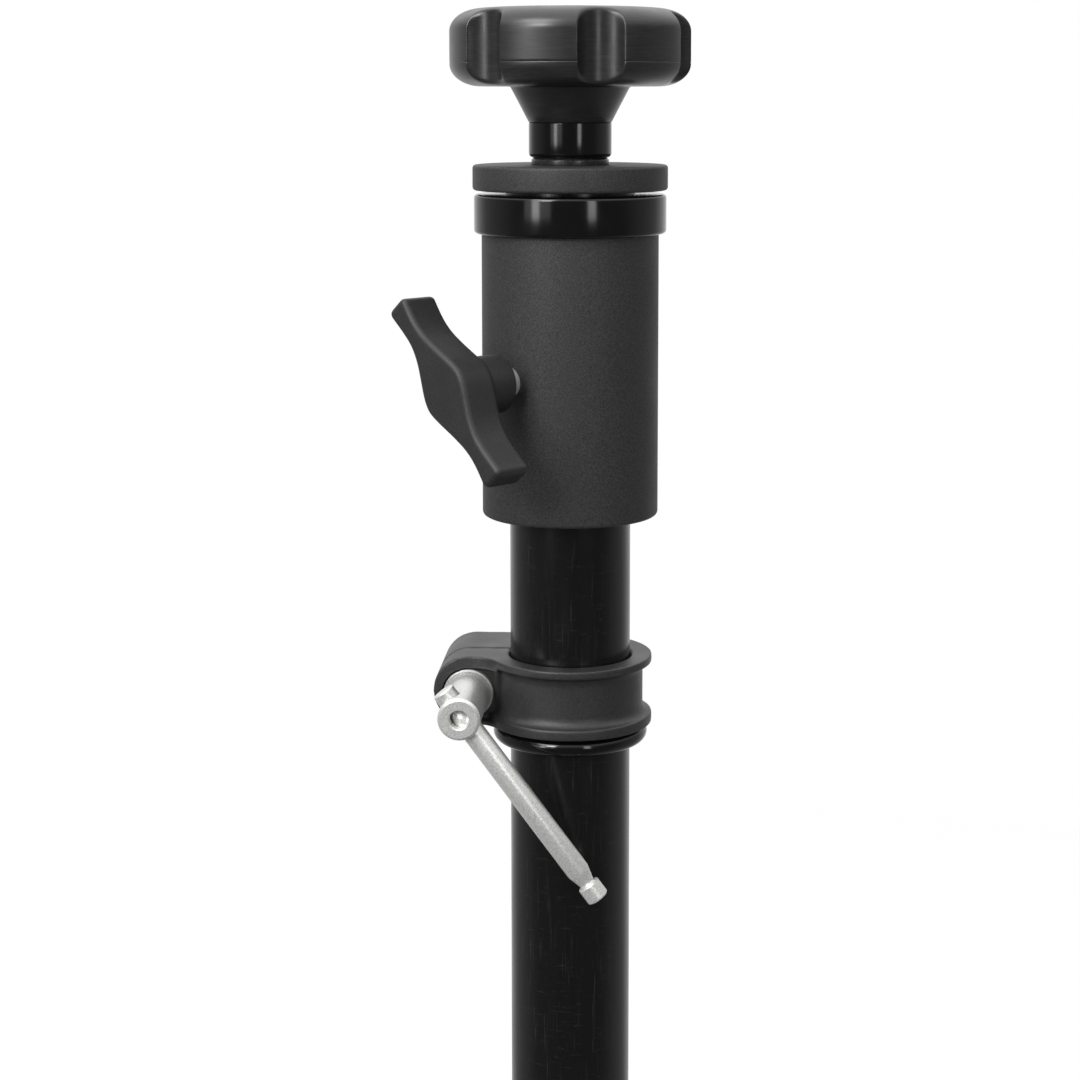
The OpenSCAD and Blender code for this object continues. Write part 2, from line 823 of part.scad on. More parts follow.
// Column head: a skirt on the column tube under a split clamp for the mast
module column_head() {
    skirt_r = column_r + skirt_wall;
    neck_r = head_waist_r + rim_depth - 1;
    color([0.12, 0.12, 0.125])
        rotate([0, 0, head_clamp_turn])
            difference() {
                union() {
                    translate([0, 0, column_top - skirt_h])
                        turned([
                            [0, 0], [skirt_r - edge_r, 0], [skirt_r, edge_r],
                            [skirt_r, skirt_h - chamfer], [neck_r, skirt_h + overlap / 2],
                            [neck_r, skirt_h + head_neck_h + fine_edge],
                            [0, skirt_h + head_neck_h + fine_edge]
                        ]);
                    translate([0, 0, column_top + head_neck_h])
                        split_clamp(head_waist_r, head_clamp_h, head_seat_front);
                }
                translate([0, 0, column_top - skirt_h - past])
                    cylinder(r = column_r + fit_gap, h = skirt_h + past);
                translate([0, 0, column_top - past])
                    cylinder(r = column_in_r, h = head_top - column_top + 2 * past);
                translate([-head_waist_r - 2 * ear_reach - past, -skirt_r,
                           head_top - head_clamp_h - relief_h])
                    cube([head_waist_r + 2 * ear_reach, 2 * skirt_r, relief_h]);
            }
}

// Split liner that guides the mast in the column head
module column_liner() {
    out_r = column_in_r - fit_gap;
    color([0.85, 0.84, 0.8])
        rotate([0, 0, head_clamp_turn])
            difference() {
                translate([0, 0, head_top - liner_len])
                    turned([
                        [mast_r + run_gap, 0], [out_r, 0], [out_r, liner_len],
                        [liner_lip_r, liner_len], [liner_lip_r, liner_len + liner_lip_h - fine_edge],
                        [liner_lip_r - fine_edge, liner_len + liner_lip_h],
                        [mast_r + run_gap, liner_len + liner_lip_h]
                    ]);
                translate([-liner_lip_r - past, slit_back - slit_w / 2, head_top - liner_len - past])
                    cube([liner_lip_r, slit_w, liner_len + liner_lip_h + 2 * past]);
            }
}

// Hub at the column's foot with a lug for each pair of braces
module column_foot() {
    color([0.12, 0.12, 0.125])
        difference() {
            union() {
                translate([0, 0, hub_low])
                    turned([
                        [0, 0], [hub_r - edge_r, 0], [hub_r, edge_r],
                        [hub_r, hub_h - 2 * overlap], [hub_r - overlap, hub_h], [0, hub_h]
                    ]);
                for (a = leg_turns)
                    rotate([0, 0, a])
                        translate([0, 0, hub_z])
                            rotate([90, 0, 0])
                                linear_extrude(2 * lug_half, center = true)
                                    union() {
                                        translate([pivot_r, 0]) circle(lug_r);
                                        translate([column_r + overlap, -lug_r])
                                            square([pivot_r - column_r - overlap, 2 * lug_r]);
                                    }
            }
            translate([0, 0, column_low]) cylinder(r = column_r + fit_gap, h = hub_h);
            translate([0, 0, hub_low - past]) cylinder(r = column_in_r, h = hub_h);
            for (a = leg_turns)
                rotate([0, 0, a])
                    translate([pivot_r, 0, hub_z]) across(pin_r + fit_gap, hub_h);
        }
}

// Plug in the hub's underside
module column_plug() {
    lip_r = column_in_r + overlap;
    color([0.05, 0.05, 0.05])
        translate([0, 0, hub_low - plug_lip_h])
            turned([
                [0, 0], [lip_r - chamfer, 0], [lip_r, chamfer], [lip_r, plug_lip_h],
                [column_in_r - fit_gap, plug_lip_h],
                [column_in_r - fit_gap, plug_lip_h + plug_h], [0, plug_lip_h + plug_h]
            ]);
}

// A pin across a leg plane with a head on each end
module headed_pin(half_length) {
    color([0.72, 0.72, 0.7]) {
        across(pin_r, half_length + fit_gap);
        for (side = [-1, 1])
            translate([0, side * (half_length + pin_head_t / 2), 0])
                across(pin_head_r, pin_head_t / 2);
    }
}

// Pins of the three hub lugs
module hub_pins() {
    for (a = leg_turns)
        rotate([0, 0, a])
            translate([pivot_r, 0, hub_z])
                headed_pin(brace_side + brace_t / 2 + side_gap / 2);
}

// Pins of the three slider forks
module slider_pins() {
    for (a = leg_turns)
        rotate([0, 0, a])
            translate([pivot_r, 0, slider_z])
                headed_pin(cheek_side + cheek_t / 2);
}

// Slider on the column with a fork for each leg and a boss for its screw
module leg_slider() {
    low = slider_z - slider_h / 2 + 2;
    color([0.12, 0.12, 0.125])
        difference() {
            union() {
                translate([0, 0, low])
                    turned([
                        [0, 0], [slider_r - edge_r, 0], [slider_r, edge_r],
                        [slider_r, slider_h - edge_r], [slider_r - edge_r, slider_h],
                        [0, slider_h]
                    ]);
                for (a = leg_turns, side = [-1, 1])
                    rotate([0, 0, a])
                        translate([0, side * cheek_side, slider_z])
                            rotate([90, 0, 0])
                                linear_extrude(cheek_t, center = true)
                                    union() {
                                        translate([pivot_r, 0]) circle(eye_r);
                                        translate([column_r, -eye_r])
                                            square([pivot_r - column_r, 2 * eye_r]);
                                    }
                outward(0, 0, column_r, slider_z + slider_screw_up)
                    cylinder(r = washer_d / 2 + 2, h = slider_seat - column_r);
            }
            translate([0, 0, low - past])
                cylinder(r = column_r + run_gap, h = slider_h + 2 * past);
            outward(0, 0, column_r - past, slider_z + slider_screw_up)
                cylinder(r = shank_r + fit_gap, h = slider_seat - column_r + 2 * past);
            for (a = leg_turns)
                rotate([0, 0, a])
                    translate([pivot_r, 0, slider_z])
                        across(pin_r + fit_gap, cheek_side + cheek_t);
        }
}

// Leg tube, drilled for the pin of its brace
module leg(i) {
    color([0.09, 0.09, 0.1])
        leg_frame(i)
            difference() {
                translate([0, 0, leg_start]) cylinder(r = leg_r, h = leg_len - leg_start);
                translate([0, 0, leg_start - past])
                    cylinder(r = leg_r - leg_wall, h = leg_len - leg_start + 2 * past);
                translate([0, 0, brace_len]) across(pin_r + fit_gap, leg_r + past);
            }
}

// Eye in the top of a leg tube
module leg_eye(i) {
    plug_r = leg_r - leg_wall - fit_gap;
    plug_end = leg_start + eye_plug_h;
    color([0.12, 0.12, 0.125])
        leg_frame(i)
            difference() {
                union() {
                    rotate([90, 0, 0])
                        linear_extrude(eye_t, center = true)
                            union() {
                                circle(eye_r);
                                translate([-eye_r, 0]) square([2 * eye_r, leg_start + overlap]);
                            }
                    translate([0, 0, leg_start])
                        cylinder(r = plug_r, h = plug_end - leg_start);
                }
                across(pin_r + run_gap, eye_t);
            }
}

// Rubber foot on a leg's end, cut flat at floor level
module foot(i) {
    color([0.05, 0.05, 0.05])
        difference() {
            leg_frame(i)
                difference() {
                    union() {
                        translate([0, 0, leg_len - foot_len])
                            cylinder(r = leg_r + foot_wall, h = foot_len);
                        translate([0, 0, leg_len]) sphere(foot_r);
                    }
                    translate([0, 0, leg_len - foot_len - past])
                        cylinder(r = leg_r + fit_gap, h = foot_len + past);
                }
            rotate([0, 0, leg_turns[i]])
                translate([0, -2 * foot_r, -2 * foot_r])
                    cube([leg_len + pivot_r, 4 * foot_r, 2 * foot_r]);
        }
}

// Pair of brace bars between the hub and a leg
module brace(i) {
    color([0.3, 0.3, 0.31])
        brace_frame(i)
            for (side = [-1, 1])
                translate([0, side * brace_side, 0])
                    difference() {
                        link(brace_len, brace_w, brace_t);
                        for (z = [0, brace_len])
                            translate([0, 0, z]) across(pin_r + run_gap, brace_t);
                    }
}

// Pin between a leg and its brace bars
module leg_pin(i) {
    leg_frame(i)
        translate([0, 0, brace_len])
            headed_pin(brace_side + brace_t / 2 + side_gap / 2);
}

hand_knob();
knob_spacer();
clamp_stud();
clamp_washer();
clamp_disc();
head_spigot();
bearing_ring();
head_sleeve();
sleeve_bushes();
thrust_pad();
wing_knob();
wing_stud();
brake_slug();
mast_tube();
mast_cap();
mast_foot_bush();
stop_collar();
collar_screw();
collar_bar();
collar_washer();
buffer_washer();
column_tube();
column_head();
column_liner();
column_screw();
column_bar();
column_washer();
column_foot();
column_plug();
hub_pins();
leg_slider();
slider_screw();
slider_bar();
slider_washer();
slider_pins();
leg(0);  // leg_1
leg(1);  // leg_2
leg(2);  // leg_3
leg_eye(0);  // leg_eye_1
leg_eye(1);  // leg_eye_2
leg_eye(2);  // leg_eye_3
foot(0);  // foot_1
foot(1);  // foot_2
foot(2);  // foot_3
brace(0);  // brace_1
brace(1);  // brace_2
brace(2);  // brace_3
leg_pin(0);  // leg_pin_1
leg_pin(1);  // leg_pin_2
leg_pin(2);  // leg_pin_3
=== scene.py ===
import json
import math
import bpy
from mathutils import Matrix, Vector

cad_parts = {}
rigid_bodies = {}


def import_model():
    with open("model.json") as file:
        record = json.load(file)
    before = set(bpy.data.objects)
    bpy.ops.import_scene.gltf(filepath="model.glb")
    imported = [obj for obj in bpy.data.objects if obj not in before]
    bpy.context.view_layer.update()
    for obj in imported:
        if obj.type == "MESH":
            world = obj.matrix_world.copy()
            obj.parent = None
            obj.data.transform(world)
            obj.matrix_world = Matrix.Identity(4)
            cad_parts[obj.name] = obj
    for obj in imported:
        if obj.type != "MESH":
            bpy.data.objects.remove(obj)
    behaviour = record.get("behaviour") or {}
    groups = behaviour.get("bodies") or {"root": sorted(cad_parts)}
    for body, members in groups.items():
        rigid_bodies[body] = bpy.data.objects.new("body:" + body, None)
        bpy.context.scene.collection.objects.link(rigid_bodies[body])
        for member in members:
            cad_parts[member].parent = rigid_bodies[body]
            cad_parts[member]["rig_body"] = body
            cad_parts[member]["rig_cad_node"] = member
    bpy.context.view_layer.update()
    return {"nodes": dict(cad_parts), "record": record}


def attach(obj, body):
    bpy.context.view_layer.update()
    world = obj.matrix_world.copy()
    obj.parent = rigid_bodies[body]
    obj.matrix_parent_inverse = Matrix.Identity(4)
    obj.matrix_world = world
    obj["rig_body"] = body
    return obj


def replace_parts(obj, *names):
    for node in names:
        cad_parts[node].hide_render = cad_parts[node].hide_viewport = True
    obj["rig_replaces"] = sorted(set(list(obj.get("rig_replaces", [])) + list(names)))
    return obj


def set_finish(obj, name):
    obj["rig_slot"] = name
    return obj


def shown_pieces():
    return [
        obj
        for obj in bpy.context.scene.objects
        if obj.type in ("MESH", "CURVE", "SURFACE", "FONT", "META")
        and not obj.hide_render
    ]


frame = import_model()
nodes = frame["nodes"]

# Camera: a short telephoto level with the knob, tilted down a little and shifted as the photograph is framed
CAMERA_PLACE = (0.0, -0.8833, 1.26554)
CAMERA_TILT = 83.2
CAMERA_LENS = 74.33
CAMERA_SENSOR = 36
CAMERA_SHIFT = (-0.02796, -0.1676)
CAMERA_REACH = 50

camera_data = bpy.data.cameras.new("camera")
camera_data.lens = CAMERA_LENS
camera_data.sensor_width = CAMERA_SENSOR
camera_data.shift_x, camera_data.shift_y = CAMERA_SHIFT
camera_data.clip_end = CAMERA_REACH
camera = bpy.data.objects.new("camera", camera_data)
camera.location = CAMERA_PLACE
camera.rotation_euler = (math.radians(CAMERA_TILT), 0, 0)
bpy.context.scene.collection.objects.link(camera)
bpy.context.scene.camera = camera
bpy.context.scene.view_settings.view_transform = "Standard"

# Sizes that several pieces share, in metres; heights are above the floor
MM = 0.001
MAST_R = 0.02415
RUN_GAP = 0.00008
STUD_BORE = 0.00808
STUD_TOP = 1.28934
GRIP_LOW = 1.26814
KNOB_LOW = 1.25394
SPACER_LOW = 1.24044
BOSS_LOW = 1.23754
DISC_LOW = 1.22754
RING_TOP = 1.22604
SLEEVE_TOP = 1.21054
WING_Z = 1.15414
COLLAR_LOW = 1.01294

# How finely round pieces are drawn
SPOKES = 192
WIDE_SPOKES = 256
GRIP_SPOKES = 1080
EDGE_STEPS = 6
CREASE = 35
GRIP_CREASE = 60
ON_AXIS = 1e-9


# Shapes
def rounded(corners, steps=EDGE_STEPS):
    """Section points from (r, z, radius) corners, each corner rounded to its radius."""
    points = []
    for i, (r, z, radius) in enumerate(corners):
        here = Vector((r, z))
        if radius == 0 or i in (0, len(corners) - 1):
            points.append((r, z))
            continue
        back = (Vector(corners[i - 1][:2]) - here).normalized()
        on = (Vector(corners[i + 1][:2]) - here).normalized()
        half = back.angle(on) / 2
        start, stop = back * (radius / math.tan(half)), on * (radius / math.tan(half))
        centre = (back + on).normalized() * (radius / math.sin(half))
        a, b = start - centre, stop - centre
        turn = a.angle_signed(b)
        for k in range(steps + 1):
            angle = -turn * k / steps
            spoke = Vector((a.x * math.cos(angle) - a.y * math.sin(angle),
                            a.x * math.sin(angle) + a.y * math.cos(angle)))
            points.append(tuple(here + centre + spoke))
    return points


def piece(name, points, faces, crease=CREASE):
    """A smooth mesh piece from its points and faces, with sharp edges over the crease angle."""
    mesh = bpy.data.meshes.new(name)
    mesh.from_pydata(points, [], faces)
    mesh.validate()
    mesh.shade_smooth()
    mesh.set_sharp_from_angle(angle=math.radians(crease))
    made = bpy.data.objects.new(name, mesh)
    bpy.context.scene.collection.objects.link(made)
    return made


def turned(name, section, spokes=SPOKES, ring=True, carve=None, crease=CREASE):
    """A lathe-turned piece: a half section of (r, z) points swept round +Z.

    A ring section closes on itself; otherwise it starts and ends on the axis.
    """
    points, rows = [], []
    for r, z in section:
        if r < ON_AXIS:
            rows.append([len(points)])
            points.append(Vector((0, 0, z)))
            continue
        rows.append(list(range(len(points), len(points) + spokes)))
        for k in range(spokes):
            angle = 2 * math.pi * k / spokes
            reach = carve(angle, r, z) if carve else r
            points.append(Vector((reach * math.cos(angle), reach * math.sin(angle), z)))
    faces = []
    for low, high in zip(rows, rows[1:] + rows[:1] if ring else rows[1:]):
        if len(low) == 1 and len(high) == 1:
            continue
        for k in range(spokes):
            n = (k + 1) % spokes
            quad = [low[k % len(low)], low[n % len(low)], high[n % len(high)], high[k % len(high)]]
            faces.append(list(dict.fromkeys(quad)))
    return piece(name, points, faces, crease)


def fit(made, node, slot):
    """Put a finer piece in the place of its CAD node."""
    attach(made, nodes[node]["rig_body"])
    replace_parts(made, node)
    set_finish(made, slot)


BORE_EDGE = 0.0004


def ring_corners(r_in, r_out, low, high, edge_low, edge_high):
    """Corners of a ring section, going up the outside and down the bore."""
    return [(r_in + BORE_EDGE, low, 0), (r_out, low, edge_low), (r_out, high, edge_high),
            (r_in + BORE_EDGE, high, 0), (r_in, high - BORE_EDGE, 0), (r_in, low + BORE_EDGE, 0)]


# Hand knob: a cone under a grip with six finger grooves, rounded edges, a mould seam and a slightly domed top
BORE_SPARE = 0.0003
CONE_LIP_R = 0.0160
CONE_LOW_R = 0.0164
CONE_LIP_H = 0.0004
CONE_SPREAD = 0.0069
CONE_RISE = 0.0132
CONE_STEPS = 6
NECK_R = 0.0244
NECK_EASE_R = 0.0236
NECK_EASE_H = 0.0002
FLAT_STEPS = 5
GRIP_H = 0.0302
GRIP_RIM_R = 0.0474
GRIP_FLAT_R = 0.0350
GRIP_EDGE_H = 0.00885
GRIP_EDGE_STEPS = 18
SEAM_UP = 0.0004
SEAM_HALF = 0.0002
SEAM_DEPTH = 0.00018
SIDE_FROM = 0.001
SIDE_H = 0.010
SIDE_STEPS = 6
DOME_H = 0.0008
DOME_STEPS = 8

GROOVES = 6
GROOVE_FIRST = 44.6
GROOVE_R = 0.010
GROOVE_AT = 0.0505
GROOVE_RIM = 0.0022
GROOVE_FLARE = 4
GROOVE_FROM_R = 0.030
JUST_UNDER = 1e-6


def finger_grooves(angle, r, z):
    """Radius of the grip where the finger grooves cut into it, with soft rims."""
    if z < GRIP_LOW - JUST_UNDER or r < GROOVE_FROM_R:
        return r
    pitch = 2 * math.pi / GROOVES
    away = (angle - math.radians(GROOVE_FIRST) + pitch / 2) % pitch - pitch / 2
    side = GROOVE_AT * math.sin(away)
    if abs(side) >= GROOVE_R:
        depth = GROOVE_AT * math.cos(away) + (abs(side) - GROOVE_R) * GROOVE_FLARE
    else:
        depth = GROOVE_AT * math.cos(away) - math.sqrt(GROOVE_R ** 2 - side ** 2)
    blend = max(GROOVE_RIM - abs(r - depth), 0) / GROOVE_RIM
    return min(r, depth) - blend ** 2 * GROOVE_RIM / 4


def make_hand_knob():
    """The knob in one section: its blind bore, the cone, the grip's underside, side and top."""
    cone_low = KNOB_LOW + CONE_LIP_H
    top = GRIP_LOW + GRIP_H
    seam = GRIP_LOW + GRIP_EDGE_H + SEAM_UP
    section = [(0, STUD_TOP + BORE_SPARE), (STUD_BORE, STUD_TOP + BORE_SPARE), (STUD_BORE, KNOB_LOW),
               (CONE_LIP_R, KNOB_LOW), (CONE_LOW_R, cone_low)]
    section += [(CONE_LOW_R + CONE_SPREAD * t / CONE_STEPS, cone_low + CONE_RISE * t / CONE_STEPS)
                for t in range(1, CONE_STEPS + 1)]
    section += [(NECK_EASE_R, GRIP_LOW - NECK_EASE_H), (NECK_R, GRIP_LOW)]
    section += [(NECK_R + (GRIP_FLAT_R - NECK_R) * t / FLAT_STEPS, GRIP_LOW) for t in range(1, FLAT_STEPS)]
    edge = [(GRIP_FLAT_R + (GRIP_RIM_R - GRIP_FLAT_R) * math.sin(a), GRIP_EDGE_H * (1 - math.cos(a)))
            for a in (math.pi / 2 * k / GRIP_EDGE_STEPS for k in range(GRIP_EDGE_STEPS + 1))]
    section += [(r, GRIP_LOW + rise) for r, rise in edge]
    section += [(GRIP_RIM_R, seam - SEAM_HALF), (GRIP_RIM_R - SEAM_DEPTH, seam), (GRIP_RIM_R, seam + SEAM_HALF)]
    section += [(GRIP_RIM_R, seam + SIDE_FROM + SIDE_H * t / SIDE_STEPS) for t in range(SIDE_STEPS + 1)]
    section += [(r, top - rise) for r, rise in reversed(edge)]
    section += [(GRIP_FLAT_R * (1 - t / DOME_STEPS), top + DOME_H * (1 - (1 - t / DOME_STEPS) ** 2))
                for t in range(1, DOME_STEPS + 1)]
    fit(turned("grip_with_finger_grooves", section, GRIP_SPOKES, ring=False, carve=finger_grooves,
               crease=GRIP_CREASE), "hand_knob", "black_plastic")


# Spacer under the knob, with a well rounded foot
SPACER_R = 0.01635
SPACER_FOOT_EDGE = 0.0017
SPACER_TOP_EDGE = 0.0002


def make_knob_spacer():
    """The glossy spacer between washer and knob."""
    corners = ring_corners(STUD_BORE, SPACER_R, SPACER_LOW, KNOB_LOW, SPACER_FOOT_EDGE, SPACER_TOP_EDGE)
    fit(turned("polished_spacer", rounded(corners)), "knob_spacer", "black_acetal")


# Washer on the disc's boss, with a chamfered upper edge
WASHER_R = 0.01533
WASHER_TOP_R = 0.01448
WASHER_CHAMFER_H = 0.0010
WASHER_EDGE = 0.0002
WASHER_CHAMFER_EDGE = 0.0003


def make_clamp_washer():
    """The chamfered steel washer under the spacer."""
    corners = [(STUD_BORE, BOSS_LOW, 0), (WASHER_R, BOSS_LOW, WASHER_EDGE),
               (WASHER_R, SPACER_LOW - WASHER_CHAMFER_H, WASHER_CHAMFER_EDGE),
               (WASHER_TOP_R, SPACER_LOW, WASHER_EDGE), (STUD_BORE, SPACER_LOW, 0)]
    fit(turned("blackened_washer", rounded(corners)), "clamp_washer", "black_steel")


# Clamping disc and bearing ring
DISC_R = 0.0386
DISC_EDGE = 0.0013
RING_BORE_R = 0.0254
RING_R = 0.03806
RING_EDGE = 0.0015
RING_EDGE_STEPS = 8


def make_clamp_disc():
    """The coated clamping disc."""
    corners = ring_corners(STUD_BORE, DISC_R, DISC_LOW, BOSS_LOW, DISC_EDGE, DISC_EDGE)
    fit(turned("coated_disc", rounded(corners), WIDE_SPOKES), "clamp_disc", "black_paint")


def make_bearing_ring():
    """The glossy ring that the disc presses on."""
    corners = ring_corners(RING_BORE_R, RING_R, SLEEVE_TOP, RING_TOP, RING_EDGE, RING_EDGE)
    fit(turned("polished_ring", rounded(corners, RING_EDGE_STEPS), WIDE_SPOKES), "bearing_ring", "black_acetal")


# Buffer under the stop collar: a half-round rim with a short hub on top
BUFFER_DROP = 0.0076
BUFFER_HALF = 0.0035
BUFFER_R = 0.03115
BUFFER_HUB_R = 0.02675
BUFFER_STEPS = 16


def make_buffer_washer():
    """The rounded buffer that the stop collar stands on."""
    low = COLLAR_LOW - BUFFER_DROP
    bore = MAST_R + RUN_GAP
    rim = [(BUFFER_R - BUFFER_HALF + BUFFER_HALF * math.sin(a), low + BUFFER_HALF - BUFFER_HALF * math.cos(a))
           for a in (math.pi * k / BUFFER_STEPS for k in range(BUFFER_STEPS + 1))]
    section = [(bore + BORE_EDGE, low), *rim, (BUFFER_HUB_R, low + 2 * BUFFER_HALF), (BUFFER_HUB_R, COLLAR_LOW),
               (bore, COLLAR_LOW), (bore, low + BORE_EDGE)]
    fit(turned("buffer_ring", section, WIDE_SPOKES), "buffer_washer", "black_acetal")


make_hand_knob()
make_knob_spacer()
make_clamp_washer()
make_clamp_disc()
make_bearing_ring()
make_buffer_washer()


# Castings and mouldings with soft edges
SOFTEN_SHARE = 0.5


def soften_edges(made, grain, passes):
    """Run every edge of a piece soft, as it comes from a mould."""
    remesh = made.modifiers.new("skin", "REMESH")
    remesh.mode = "VOXEL"
    remesh.voxel_size = grain
    remesh.use_smooth_shade = True
    soften = made.modifiers.new("soften", "SMOOTH")
    soften.factor = SOFTEN_SHARE
    soften.iterations = passes
    graph = bpy.context.evaluated_depsgraph_get()
    skin = bpy.data.meshes.new_from_object(made.evaluated_get(graph))
    made.modifiers.clear()
    made.data = skin
    skin.shade_smooth()


def softened_casting(node, name, grain, passes):
    """A casting: the CAD solid's form with soft edges."""
    mesh = nodes[node].data.copy()
    mesh.name = name
    made = bpy.data.objects.new(name, mesh)
    bpy.context.scene.collection.objects.link(made)
    soften_edges(made, grain, passes)
    fit(made, node, "black_casting")


# One flank of the wing from tip to tip, as (place along the grip, distance from its middle line) in metres
WING_FLANK = [(0.0410, 0.0053), (0.0360, 0.0047), (0.0310, 0.0040), (0.0250, 0.0036), (0.0205, 0.0042),
              (0.0160, 0.0056), (0.0110, 0.0079), (0.0060, 0.0103), (0.0020, 0.0117), (-0.0020, 0.0120),
              (-0.0070, 0.0107), (-0.0115, 0.0091), (-0.0160, 0.0075), (-0.0220, 0.0057), (-0.0270, 0.0049),
              (-0.0315, 0.0049), (-0.0360, 0.0054), (-0.0410, 0.0061)]
FLANK_STEPS = 5
WING_SHIFT = -0.0006
WING_CORNER = 0.0024
WING_EDGE = 0.0022
WING_EDGE_STEPS = 8
WING_LEAN = 130.7
WING_TURN = 43.5
WING_BACK = 0.0534
WING_T = 0.017
WING_BOSS_R = 0.0115
WING_BOSS_H = 0.012
WING_BORE_R = 0.0062
BOSS_SIDES = 96
WING_GRAIN = 0.00035
WING_PASSES = 3


def through(points):
    """Points of a smooth curve through the given ones."""
    made = []
    last = len(points) - 1
    for i in range(last):
        a, b, c, d = (Vector(points[min(max(i + k, 0), last)]) for k in (-1, 0, 1, 2))
        for t in (k / FLANK_STEPS for k in range(FLANK_STEPS)):
            made.append(tuple(0.5 * (2 * b + (c - a) * t + (2 * a - 5 * b + 4 * c - d) * t ** 2
                                     + (3 * b - a - 3 * c + d) * t ** 3)))
    return made + [tuple(points[-1])]


def drawn_in(outline, depth):
    """A closed outline moved inwards by a depth; it runs with its inside on the left."""
    moved = []
    for i, here in enumerate(outline):
        ways = (Vector(here) - Vector(outline[i - 1]), Vector(outline[(i + 1) % len(outline)]) - Vector(here))
        left = [Vector((-way.y, way.x)).normalized() for way in ways]
        mitre = (left[0] + left[1]) / (1 + left[0].dot(left[1]))
        moved.append(tuple(Vector(here) + mitre * depth))
    return moved


def on_wing_axis(x, y, reach):
    """A point of the wing screw: across, up, and away from the mast's axis."""
    turn = math.radians(WING_TURN)
    return Vector((x * math.cos(turn) - reach * math.sin(turn),
                   -x * math.sin(turn) - reach * math.cos(turn), WING_Z + y))


def stack(name, layers):
    """A closed piece on the wing screw's axis, from outlines stacked at their distances from the mast."""
    count = len(layers[0][1])
    points = [on_wing_axis(x, y, reach) for reach, outline in layers for x, y in outline]
    faces = [list(range(count))[::-1], list(range(len(points) - count, len(points)))]
    for k in range(len(layers) - 1):
        for i in range(count):
            n = (i + 1) % count
            faces.append([k * count + i, k * count + n, (k + 1) * count + n, (k + 1) * count + i])
    return piece(name, points, faces)


def round_outline(radius):
    """A circle as a closed outline."""
    return [(radius * math.cos(a), radius * math.sin(a))
            for a in (2 * math.pi * k / BOSS_SIDES for k in range(BOSS_SIDES))]


def wing_outline():
    """Outline of the grip, flank and opposite flank, with rounded tips, leaning as in the photograph."""
    flank = [WING_FLANK[0]] + through(WING_FLANK[1:-1]) + [WING_FLANK[-1]]
    half = [(x, y, 0) for x, y in flank]
    half[0], half[-1] = (*flank[0], WING_CORNER), (*flank[-1], WING_CORNER)
    corners = half + [(-x, -y, radius) for x, y, radius in half]
    middle = len(flank) // 2
    lean = math.radians(WING_LEAN)
    return [((x + WING_SHIFT) * math.cos(lean) - y * math.sin(lean),
             (x + WING_SHIFT) * math.sin(lean) + y * math.cos(lean))
            for x, y in rounded(corners[middle:] + corners[:middle + 1])[:-1]]


def make_wing():
    """The moulded wing: flanks that flow into the hub, all edges well rounded, a bored boss behind."""
    outline = wing_outline()
    rim = [math.pi / 2 * k / WING_EDGE_STEPS for k in range(WING_EDGE_STEPS + 1)]
    edge = [(WING_EDGE * (1 - math.cos(a)), drawn_in(outline, WING_EDGE * (1 - math.sin(a)))) for a in rim]
    grip = stack("moulded_wing", [(WING_BACK + rise, shape) for rise, shape in edge]
                 + [(WING_BACK + WING_T - rise, shape) for rise, shape in reversed(edge)])
    boss = stack("wing_boss", [(WING_BACK - WING_BOSS_H, round_outline(WING_BOSS_R - MM / 2)),
                               (WING_BACK - WING_BOSS_H + MM / 2, round_outline(WING_BOSS_R)),
                               (WING_BACK + MM, round_outline(WING_BOSS_R))])
    bore = stack("wing_bore", [(WING_BACK - WING_BOSS_H - MM, round_outline(WING_BORE_R)),
                               (WING_BACK + WING_T / 2, round_outline(WING_BORE_R))])
    for tool, operation in ((boss, "UNION"), (bore, "DIFFERENCE")):
        cut = grip.modifiers.new(tool.name, "BOOLEAN")
        cut.operation = operation
        cut.object = tool
        cut.solver = "EXACT"
    soften_edges(grip, WING_GRAIN, WING_PASSES)
    for tool in (boss, bore):
        bpy.data.objects.remove(tool)
    fit(grip, "wing_knob", "black_plastic")


make_wing()

# Castings: node, piece, grain of the new skin in metres, passes that soften it
CASTINGS = [
    ("stop_collar", "cast_collar", 0.0005, 4),
    ("column_head", "cast_column_head", 0.0008, 4),
    ("column_foot", "cast_hub", 0.0008, 5),
    ("leg_slider", "cast_slider", 0.0007, 5),
]
for node, name, grain, passes in CASTINGS:
    softened_casting(node, name, grain, passes)


# Finishes
def linear(code):
    """Linear colour of an sRGB hex value."""
    channels = [int(code[i:i + 2], 16) / 255 for i in (1, 3, 5)]
    return [c / 12.92 if c <= 0.04045 else ((c + 0.055) / 1.055) ** 2.4 for c in channels] + [1]


def add(tree, kind, links=None, values=None, ramp=(), **settings):
    """Add a node with its settings, input values, links and colour stops.

    A link comes from a socket, or from a node's first output. A stop is a place with a hex value or a plain level.
    """
    made = tree.nodes.new(kind)
    for key, value in settings.items():
        setattr(made, key, value)
    for key, value in (values or {}).items():
        made.inputs[key].default_value = value
    for key, source in (links or {}).items():
        tree.links.new(getattr(source, "outputs", [source])[0], made.inputs[key])
    for i, (at, shade) in enumerate(ramp):
        stops = made.color_ramp.elements
        stop = stops[0] if i == 0 else stops[-1] if i == len(ramp) - 1 else stops.new(at)
        stop.position = at
        stop.color = linear(shade) if isinstance(shade, str) else (shade, shade, shade, 1)
    return made


def start_finish(name):
    """A new material with an empty node tree, and the piece's own coordinates in metres."""
    material = bpy.data.materials.new(name)
    material.use_nodes = True
    material.node_tree.nodes.clear()
    return material, material.node_tree, add(material.node_tree, "ShaderNodeTexCoord").outputs["Object"]


def grain_of(*sizes_mm):
    """Pattern scale of a grain from its real size in millimetres, along x, y and z."""
    return [1 / (size * MM) for size in sizes_mm]


